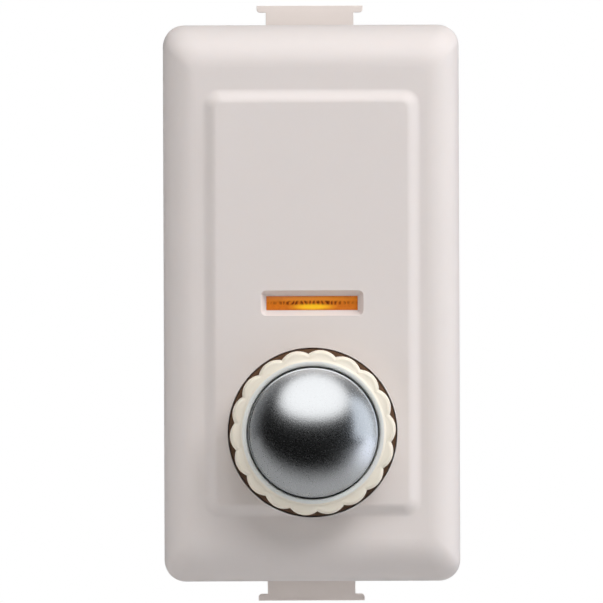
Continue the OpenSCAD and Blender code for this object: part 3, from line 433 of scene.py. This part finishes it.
# %% [markdown]
# The lens is amber and lit from behind by a small neon lamp. Through it the lamp's ribbed electrodes
# show as a dark band along the middle, with the glow brightest just below. Real light through a
# scattering lens is slow to compute, so all of this is painted light: the electrodes are a painted
# shadow, the glow and a band above it are painted glow, and the colour also gives off a little light.

# %% Amber lens finish, with its glow painted on
amber, an, al, amber_shader = new_material("amber_lens")
lens_coords = an.new("ShaderNodeTexCoord").outputs["Object"]


def band(centre, reach, soft):
    """1 near centre and 0 beyond reach, along each axis that reach is given for, in millimetres."""
    shifted = an.new("ShaderNodeVectorMath")
    shifted.operation = "SUBTRACT"
    shifted.inputs[1].default_value = mm(*centre)
    al.new(lens_coords, shifted.inputs[0])
    scaled = an.new("ShaderNodeVectorMath")
    scaled.operation = "MULTIPLY"
    scaled.inputs[1].default_value = [0 if r is None else 1/mm(r) for r in reach]
    al.new(shifted.outputs[0], scaled.inputs[0])
    distance = an.new("ShaderNodeVectorMath")
    distance.operation = "LENGTH"
    al.new(scaled.outputs[0], distance.inputs[0])
    fade = an.new("ShaderNodeMapRange")
    fade.interpolation_type = "SMOOTHSTEP"
    fade.inputs["From Min"].default_value = 1 + soft
    fade.inputs["From Max"].default_value = 1 - soft
    al.new(distance.outputs["Value"], fade.inputs["Value"])
    return fade.outputs["Result"]


def paint(under, over, amount):
    """Lays a colour over another by an amount from 0 to 1."""
    mix = an.new("ShaderNodeMix")
    mix.data_type = "RGBA"
    al.new(amount, mix.inputs["Factor"])
    if isinstance(under, tuple):
        mix.inputs["A"].default_value = under
    else:
        al.new(under, mix.inputs["A"])
    mix.inputs["B"].default_value = over
    return mix.outputs["Result"]


def times(a, b):
    """Two amounts multiplied."""
    product = an.new("ShaderNodeMath")
    product.operation = "MULTIPLY"
    al.new(a, product.inputs[0])
    if isinstance(b, float):
        product.inputs[1].default_value = b
    else:
        al.new(b, product.inputs[1])
    return product.outputs[0]


ribs = an.new("ShaderNodeTexWave")
ribs.bands_direction = "X"
ribs.inputs["Scale"].default_value = 900
ribs.inputs["Distortion"].default_value = 6
ribs.inputs["Detail"].default_value = 3
ribs.inputs["Detail Scale"].default_value = 2
al.new(lens_coords, ribs.inputs["Vector"])
streaks = noise(an, al, lens_coords, 2600, 3, 0.6)
lens_tone_and_painted_glow = paint(colour(180, 92, 26), colour(226, 128, 34), streaks.outputs["Fac"])
# Painted light: an orange glow above, the electrodes' shadow as a ribbed band, a yellow glow below.
lens_tone_and_painted_glow = paint(lens_tone_and_painted_glow, colour(238, 150, 52), times(band((0.2, 0, 0.30), (3.2, None, 0.16), 0.7), 0.75))
lens_tone_and_painted_glow = paint(lens_tone_and_painted_glow, colour(92, 34, 8), times(band((0, 0, 0.02), (3.0, None, 0.17), 0.45), ribs.outputs["Fac"]))
lens_tone_and_painted_glow = paint(lens_tone_and_painted_glow, colour(252, 196, 40), times(band((0.05, 0, -0.30), (1.3, None, 0.20), 0.7), 0.95))
al.new(lens_tone_and_painted_glow, amber_shader.inputs["Base Color"])
# The painted glow also gives off light, though the lens is no lamp.
al.new(lens_tone_and_painted_glow, amber_shader.inputs["Emission Color"])
amber_shader.inputs["Emission Strength"].default_value = 0.22
amber_shader.inputs["Roughness"].default_value = 0.18
amber_shader.inputs["Coat Weight"].default_value = 0.3

# %% [markdown]
# ## Helpers for modelling
# A moulded shell can be seen as a stack of outlines: each outline is extruded from the last and then
# moved to its own size and depth. The helpers below start from a flat face, remember for each vertex
# which corner it belongs to and at what angle round it, and extrude ring after ring from there.

# %% Ring helpers


def boundary(bm):
    """The open edges, which are the outline to extrude next."""
    return [e for e in bm.edges if e.is_boundary]


def next_ring(bm, edges, place):
    """Extrudes an outline and moves each new vertex with place."""
    made = bmesh.ops.extrude_edge_only(bm, edges=edges)["geom"]
    for vert in (v for v in made if isinstance(v, bmesh.types.BMVert)):
        vert.co = place(vert)
    return [e for e in made if isinstance(e, bmesh.types.BMEdge)]


def rounded_outline(bm, w, h, r, y, steps):
    """A flat rounded rectangle in X and Z whose vertices remember their corner and angle."""
    upright = Matrix.Translation((0, y, 0)) @ Matrix.Rotation(math.pi/2, 4, "X") @ Matrix.Diagonal((w, h, 1, 1))
    bmesh.ops.create_grid(bm, x_segments=1, y_segments=1, size=0.5, matrix=upright)
    bmesh.ops.bevel(bm, geom=bm.verts[:], offset=r, offset_type="OFFSET", segments=steps, profile=0.5,
                    affect="VERTICES", material=-1)
    memory = bm.verts.layers.float_vector.new("corner")
    for vert in bm.verts:
        sx, sz = math.copysign(1, vert.co.x), math.copysign(1, vert.co.z)
        angle = math.atan2(vert.co.z - sz*(h/2 - r), vert.co.x - sx*(w/2 - r))
        vert[memory] = (sx, sz, angle)
    return memory


def ring_place(memory, half_width, half_height, r, y_sides, y_ends=None):
    """Where a vertex goes on a rounded rectangle; its depth may differ between sides and ends."""
    y_ends = y_sides if y_ends is None else y_ends

    def place(vert):
        sx, sz, angle = vert[memory]
        to_end = math.sin(angle)**2
        return Vector((sx*(half_width - r) + r*math.cos(angle), y_sides + (y_ends - y_sides)*to_end,
                       sz*(half_height - r) + r*math.sin(angle)))
    return place


def close(bm, edges):
    """Closes an outline with one flat face."""
    bmesh.ops.contextual_create(bm, geom=edges)


def piece(bm, name, material, body, slot, *nodes):
    """Makes a finished object from a bmesh, and has it ride and stand in for its frame nodes."""
    bmesh.ops.remove_doubles(bm, verts=bm.verts[:], dist=mm(0.0005))
    bmesh.ops.recalc_face_normals(bm, faces=bm.faces[:])
    mesh = bpy.data.meshes.new(name)
    bm.to_mesh(mesh)
    bm.free()
    made = bpy.data.objects.new(name, mesh)
    scene.collection.objects.link(made)
    mesh.materials.append(material)
    if body:
        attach(made, body)
        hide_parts(*nodes)
    return made


def smooth(made, angle=35):
    """Smooth shading that stays crisp at edges sharper than angle."""
    made.data.shade_smooth()
    made.data.set_sharp_from_angle(angle=math.radians(angle))


def bake(made):
    """Applies the modifiers, so that the mesh is what the render shows."""
    evaluated = made.evaluated_get(bpy.context.evaluated_depsgraph_get())
    mesh = bpy.data.meshes.new_from_object(evaluated)
    made.modifiers.clear()
    made.data = mesh


def soften(made, width, segments=2, angle=40):
    """Rounds the sharp edges and keeps the flat faces flat."""
    bevel = made.modifiers.new("soft_edges", "BEVEL")
    bevel.width, bevel.segments, bevel.limit_method = width, segments, "ANGLE"
    bevel.angle_limit = math.radians(angle)
    bevel.use_clamp_overlap = True
    bevel.harden_normals = False
    weighted = made.modifiers.new("flat_faces", "WEIGHTED_NORMAL")
    weighted.weight = 80
    weighted.keep_sharp = True


# %% [markdown]
# ## The front cover
# The cover is a pillow: its long edges are rounded by 2.6 mm and its short ones by 3.4 mm, and a
# panel rises from it by less than half a millimetre over a soft S-shaped ramp. Modelled as rings, it
# runs from the floor of its cavity, out over the rim, up the sides, over the rounding and up the
# ramp. The lamp window and the knob's well are then cut out of it, and their edges are softened.

# %% Front cover
COVER_WALL, CORNER_R = mm(1.5), mm(1.7)
SIDE_ROUND, END_ROUND = mm(2.6), mm(3.4)
PANEL_RISE, RAMP = mm(0.45), mm(1.1)
SIDE_MARGIN, END_MARGIN = mm(3.15), mm(5.2)
RIM_SOFT = mm(0.15)
border_y = panel_y + PANEL_RISE
cavity_y = border_y + COVER_WALL

cover_bm = bmesh.new()
memory = rounded_outline(cover_bm, 2*(half_w - COVER_WALL), 2*(half_h - COVER_WALL), mm(0.4), cavity_y, 10)
outline = boundary(cover_bm)


def cover_ring(in_side, in_end, r, y_sides, y_ends=None):
    """The next outline, inset from the cover's outer sides and ends."""
    global outline
    outline = next_ring(cover_bm, outline, ring_place(memory, half_w - in_side, half_h - in_end, r, y_sides, y_ends))


cover_ring(COVER_WALL, COVER_WALL, mm(0.4), -RIM_SOFT)
cover_ring(COVER_WALL - RIM_SOFT, COVER_WALL - RIM_SOFT, mm(0.5), 0)
for turn in (0, 30, 60, 90):
    t = math.radians(turn)
    inset, depth = RIM_SOFT*(1 - math.sin(t)), -RIM_SOFT*(1 - math.cos(t))
    cover_ring(inset, inset, CORNER_R - inset, depth)
ROUND_STEPS = 16
for step in range(ROUND_STEPS + 1):
    t = math.pi/2*step/ROUND_STEPS
    cover_ring(SIDE_ROUND*(1 - math.cos(t)), END_ROUND*(1 - math.cos(t)),
               CORNER_R - mm(0.9)*(1 - math.cos(t)),
               border_y + SIDE_ROUND*(1 - math.sin(t)), border_y + END_ROUND*(1 - math.sin(t)))
cover_ring(SIDE_ROUND + mm(0.03), END_ROUND + mm(0.03), mm(0.8), border_y)
cover_ring(SIDE_MARGIN - mm(0.03), END_MARGIN - mm(0.03), mm(1.33), border_y)
RAMP_STEPS = 12
for step in range(RAMP_STEPS + 1):
    t = step/RAMP_STEPS
    cover_ring(SIDE_MARGIN + RAMP*t, END_MARGIN + RAMP*t, mm(1.3) - mm(0.7)*t,
               border_y - PANEL_RISE*t*t*(3 - 2*t))
cover_ring(SIDE_MARGIN + RAMP + mm(0.03), END_MARGIN + RAMP + mm(0.03), mm(0.57), panel_y)
close(cover_bm, outline)
cover = piece(cover_bm, "cover_shell", ivory, "housing", "ivory_plastic", "front_cover")
print("cover rings:", ROUND_STEPS + RAMP_STEPS + 11, "faces:", len(cover.data.polygons))

# %% [markdown]
# The window's cutter narrows from its mouth to the lens, with rounded corners at the mouth and sharp
# ones at the lens. The well's cutter is a plain cylinder. Both are made as solids a little longer
# than the wall, and the Boolean modifier takes them away.

# %% Window and well
WINDOW_BEVEL, WINDOW_SINK = mm(0.45), lens_low.y - panel_y
WELL_R = mm(6.85)
lens_half_w = lens_high.x - mm(0.6)
lens_half_h = lens_high.z - mm(0.6)
window_bm = bmesh.new()
mouth_w, mouth_h = lens_half_w + WINDOW_BEVEL, lens_half_h + WINDOW_BEVEL
window_memory = rounded_outline(window_bm, 2*mouth_w, 2*mouth_h, mm(0.42), panel_y - mm(1), 8)
ledge = mm(0.10)
window_rings = [(0, mm(0.42), 0), (mm(0.32), mm(0.14), WINDOW_SINK - ledge), (mm(0.36), mm(0.06), WINDOW_SINK - ledge + mm(0.03)),
                (WINDOW_BEVEL, mm(0.02), WINDOW_SINK), (WINDOW_BEVEL, mm(0.02), mm(3))]
window_edges = boundary(window_bm)
for inset, r, depth in window_rings:
    window_edges = next_ring(window_bm, window_edges, ring_place(window_memory, mouth_w - inset, mouth_h - inset, r, panel_y + depth))
close(window_bm, window_edges)
window_cutter = piece(window_bm, "window_cutter", ivory, None, None)

well_bm = bmesh.new()
bmesh.ops.create_cone(well_bm, cap_ends=True, segments=144, radius1=WELL_R, radius2=WELL_R, depth=mm(6),
                      matrix=Matrix.Translation((0, panel_y, knob_z)) @ Matrix.Rotation(math.pi/2, 4, "X"))
well_cutter = piece(well_bm, "well_cutter", ivory, None, None)
for cutter in (window_cutter, well_cutter):
    cut = cover.modifiers.new("cut", "BOOLEAN")
    cut.operation, cut.solver, cut.object = "DIFFERENCE", "EXACT", cutter
bake(cover)
for cutter in (window_cutter, well_cutter):
    bpy.data.objects.remove(cutter)
smooth(cover, 32)
soften(cover, mm(0.07), 3, 38)
bake(cover)
print("cover faces after the cuts:", len(cover.data.polygons))

# %% [markdown]
# ## The lens
# The lens fills the window's floor. Its front edges are rounded a little, as a moulded insert's are,
# and its flange, which hides behind the cover, is part of the same piece.

# %% Lens
lens_bm = bmesh.new()
lens_top = lens_low.y
lens_memory = rounded_outline(lens_bm, 2*lens_high.x, 2*lens_high.z, mm(0.1), lens_high.y, 3)
lens_edges = boundary(lens_bm)
LENS_FLANGE = mm(0.6)
for inset, r, y in [(0, mm(0.1), lens_high.y - LENS_FLANGE), (LENS_FLANGE + mm(0.01), mm(0.03), lens_high.y - LENS_FLANGE),
                    (LENS_FLANGE + mm(0.01), mm(0.03), lens_top + mm(0.06)), (LENS_FLANGE + mm(0.03), mm(0.03), lens_top + mm(0.02)),
                    (LENS_FLANGE + mm(0.07), mm(0.03), lens_top)]:
    lens_edges = next_ring(lens_bm, lens_edges, ring_place(lens_memory, lens_high.x - inset, lens_high.z - inset, r, y))
close(lens_bm, lens_edges)
lens = piece(lens_bm, "amber_window", amber, "housing", "amber_lens", "indicator_lens")
smooth(lens)

# %% [markdown]
# ## The knob's collar
# Eighteen lobes stand round the collar for the fingers. Each lobe's outline is part of a circle whose
# middle lies inside the rim, so the distance from the axis follows from that circle, and an outline
# that is a little smaller all round only needs a smaller circle. The rings climb the lobed side, turn
# in over a rounded shoulder and run to a round lip, then down a small bevel to where the cap sits.

# %% Collar
LOBES, LOBE_R, KNOB_R, FIRST_LOBE = 18, mm(1.6), collar_high.x, math.radians(3)
lobe_middle = KNOB_R - LOBE_R
STEPS_PER_LOBE = 16
LIP_R, PETAL_DROP = mm(5.74), mm(0.20)


def lobed(angle, inset):
    """Distance from the knob's axis to the lobed outline, drawn in by inset."""
    step = 2*math.pi/LOBES
    off = (angle - FIRST_LOBE + step/2) % step - step/2
    r = LOBE_R - inset
    return lobe_middle*math.cos(off) + math.sqrt(r*r - (lobe_middle*math.sin(off))**2)


def knob_place(radius, y):
    """Where a vertex goes on a ring round the knob; radius may depend on its angle."""
    def place(vert):
        angle = math.atan2(vert.co.z - knob_z, vert.co.x)
        r = radius(angle) if callable(radius) else radius
        return Vector((r*math.cos(angle), y, knob_z + r*math.sin(angle)))
    return place


def round_face(bm, segments, radius, y, turn):
    """A flat round face about the knob's axis."""
    where = Matrix.Translation((0, y, knob_z)) @ Matrix.Rotation(math.pi/2, 4, "X") @ Matrix.Rotation(turn, 4, "Z")
    bmesh.ops.create_circle(bm, cap_ends=False, segments=segments, radius=radius, matrix=where)
    return bm.edges[:]


collar_bm = bmesh.new()
half_lobe = math.pi/LOBES
cap_seat_y = lip_y + mm(0.95)
hub_r = cap_r - mm(0.88)
edges = round_face(collar_bm, LOBES*STEPS_PER_LOBE, hub_r, base_y, FIRST_LOBE + half_lobe)
SHOULDER_IN, SHOULDER_DOWN = mm(0.32), mm(0.42)
petal_y = lip_y + PETAL_DROP
edges = next_ring(collar_bm, edges, knob_place(lambda a: lobed(a, mm(0.05)), base_y))
edges = next_ring(collar_bm, edges, knob_place(lambda a: lobed(a, 0), base_y - mm(0.05)))
for step in range(9):
    t = math.pi/2*step/8
    edges = next_ring(collar_bm, edges, knob_place(
        lambda a, t=t: lobed(a, SHOULDER_IN*(1 - math.cos(t))), petal_y + SHOULDER_DOWN*(1 - math.sin(t))))
GAP = mm(0.13)
for r, y in [(LIP_R + mm(0.19), petal_y + mm(0.01)), (LIP_R + mm(0.13), lip_y + mm(0.15)),
             (LIP_R + mm(0.05), lip_y + mm(0.06)), (LIP_R, lip_y + mm(0.02)), (LIP_R - mm(0.07), lip_y),
             (LIP_R - mm(0.24), lip_y), (LIP_R - mm(0.31), lip_y + mm(0.03)), (cap_r + GAP, lip_y + mm(0.12)),
             (cap_r + GAP, cap_seat_y), (hub_r, cap_seat_y), (hub_r, base_y)]:
    edges = next_ring(collar_bm, edges, knob_place(r, y))
collar = piece(collar_bm, "scalloped_collar", cream, "knob", "knob_plastic", "knob_collar")
smooth(collar, 50)
print("collar faces:", len(collar.data.polygons))

# %% [markdown]
# ## The cap
# The cap is a thin domed shell, pressed from sheet and plated. Its section is a short arc, spun once
# round the knob's axis: the outer dome, a tight roll at its edge, the skirt that goes down into the
# collar, and the inner side back up to the axis.

# %% Cap
cap_rise = lip_y - cap_low.y
dome_r = (cap_r*cap_r + cap_rise*cap_rise)/(2*cap_rise)
CAP_WALL, EDGE_ROLL = mm(0.6), mm(0.12)
dome_middle_y = cap_low.y + dome_r
cap_bm = bmesh.new()


def dome_point(r, wall=0):
    """A point of the dome's section at distance r from the axis."""
    return Vector((r, dome_middle_y - math.sqrt((dome_r - wall)**2 - r*r), knob_z))


rim_r = cap_r - EDGE_ROLL
section = [dome_point(rim_r*math.sin(math.pi/2*i/28)) for i in range(29)]
roll_start = section[-1]
section += [roll_start + Vector((EDGE_ROLL*math.sin(t), EDGE_ROLL*1.4*(1 - math.cos(t)), 0))
            for t in (math.radians(a) for a in (30, 60, 90))]
section += [Vector((cap_r, cap_high.y, knob_z)), Vector((cap_r - CAP_WALL, cap_high.y, knob_z))]
section += [dome_point((cap_r - CAP_WALL)*i/8, CAP_WALL) for i in range(8, -1, -1)]
section_verts = [cap_bm.verts.new(p) for p in section]
section_edges = [cap_bm.edges.new(pair) for pair in zip(section_verts, section_verts[1:])]
bmesh.ops.spin(cap_bm, geom=section_verts + section_edges, cent=(0, 0, knob_z), axis=(0, 1, 0),
               angle=2*math.pi, steps=144, use_merge=True)
cap = piece(cap_bm, "domed_cap", satin_chrome, "knob", "satin_chrome", "knob_cap")
smooth(cap, 50)
print("cap faces:", len(cap.data.polygons))

# %% [markdown]
# ## Moulded shells
# The chassis, the housing, the rear cover, the latches and the fuse drawer are right as they are, but
# their edges are razor sharp, which no moulded part's are. Each is copied, its loose triangles are
# merged back into flat faces, and a narrow bevel rounds its edges.

# %% Soft shells


def softened(node, name, material, body, slot, width):
    """A copy of a frame node with merged faces and rounded edges."""
    bm = bmesh.new()
    bm.from_mesh(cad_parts[node].data)
    bmesh.ops.remove_doubles(bm, verts=bm.verts[:], dist=mm(0.001))
    bmesh.ops.dissolve_limit(bm, angle_limit=math.radians(1), verts=bm.verts[:], edges=bm.edges[:])
    mesh = bpy.data.meshes.new(name)
    bm.to_mesh(mesh)
    bm.free()
    made = bpy.data.objects.new(name, mesh)
    scene.collection.objects.link(made)
    mesh.materials.clear()
    mesh.materials.append(material)
    for polygon in mesh.polygons:
        polygon.material_index = 0
    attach(made, body)
    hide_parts(node)
    smooth(made, 32)
    soften(made, width, 2, 35)
    bake(made)
    return made


shells = [
    ("chassis", "chassis_shell", ivory, "housing", "ivory_plastic", mm(0.12)),
    ("rear_housing", "rear_shell", ivory, "housing", "ivory_plastic", mm(0.12)),
    ("rear_cover", "back_plate", ivory, "housing", "ivory_plastic", mm(0.15)),
    ("upper_latch", "upper_latch_tongue", latch_ivory_painted_light, "latch_upper", "ivory_plastic", mm(0.10)),
    ("lower_latch", "lower_latch_tongue", latch_ivory_painted_light, "latch_lower", "ivory_plastic", mm(0.10)),
    ("fuse_carrier", "fuse_drawer_shell", black, "fuse_drawer", "black_plastic", mm(0.12)),
    ("rear_cover_screws", "back_plate_screws", zinc, "housing", "steel", mm(0.08)),
    ("clamp_screw_common", "screw_common", zinc, "screw_common", "steel", mm(0.10)),
    ("clamp_screw_one", "screw_one", zinc, "screw_one", "steel", mm(0.10)),
    ("clamp_screw_two", "screw_two", zinc, "screw_two", "steel", mm(0.10)),
]
for node, name, material, body, slot, width in shells:
    made = softened(node, name, material, body, slot, width)
    print(name, len(made.data.polygons), "faces")

# %% [markdown]
# ## Everything else
# The remaining pieces keep their frame meshes and get the finish of their own material.

# %% Finishes for the frame's own pieces
finishes = {
    brown: ["knob_hub"],
    natural: ["switch_plunger"],
    glass: ["lamp_bulb", "fuse_glass"],
    zinc: ["shaft", "shaft_clip", "bushing_washer", "bushing_nut", "potentiometer_case", "potentiometer_pins",
           "return_spring", "lamp_electrodes", "fuse_wire", "triac_screw",
           "clamp_plate_common", "clamp_plate_one", "clamp_plate_two"],
    sheet: ["heat_sink"],
    brass: ["bushing", "fuse_caps", "terminal_common", "terminal_one", "terminal_two"],
    bronze: ["wiper", "contact_bridge", "front_contacts", "rear_contacts", "fuse_clips"],
    copper: ["choke_winding"],
    black: ["potentiometer_rotor", "resistance_track", "switch_case", "triac"],
    board: ["circuit_board"],
    ferrite: ["choke_core"],
    red_dip: ["suppression_capacitor"],
    orange_dip: ["timing_capacitor"],
    lacquer: ["resistors"],
    blue_case: ["diac"],
}
for material, names in finishes.items():
    for node in names:
        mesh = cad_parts[node].data
        mesh.materials.clear()
        mesh.materials.append(material)
        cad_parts[node].active_material = material
finished = {node for names in finishes.values() for node in names} | {"front_cover", "indicator_lens", "knob_collar", "knob_cap"}
finished |= {row[0] for row in shells}
print("without a finish:", sorted(set(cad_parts) - finished))
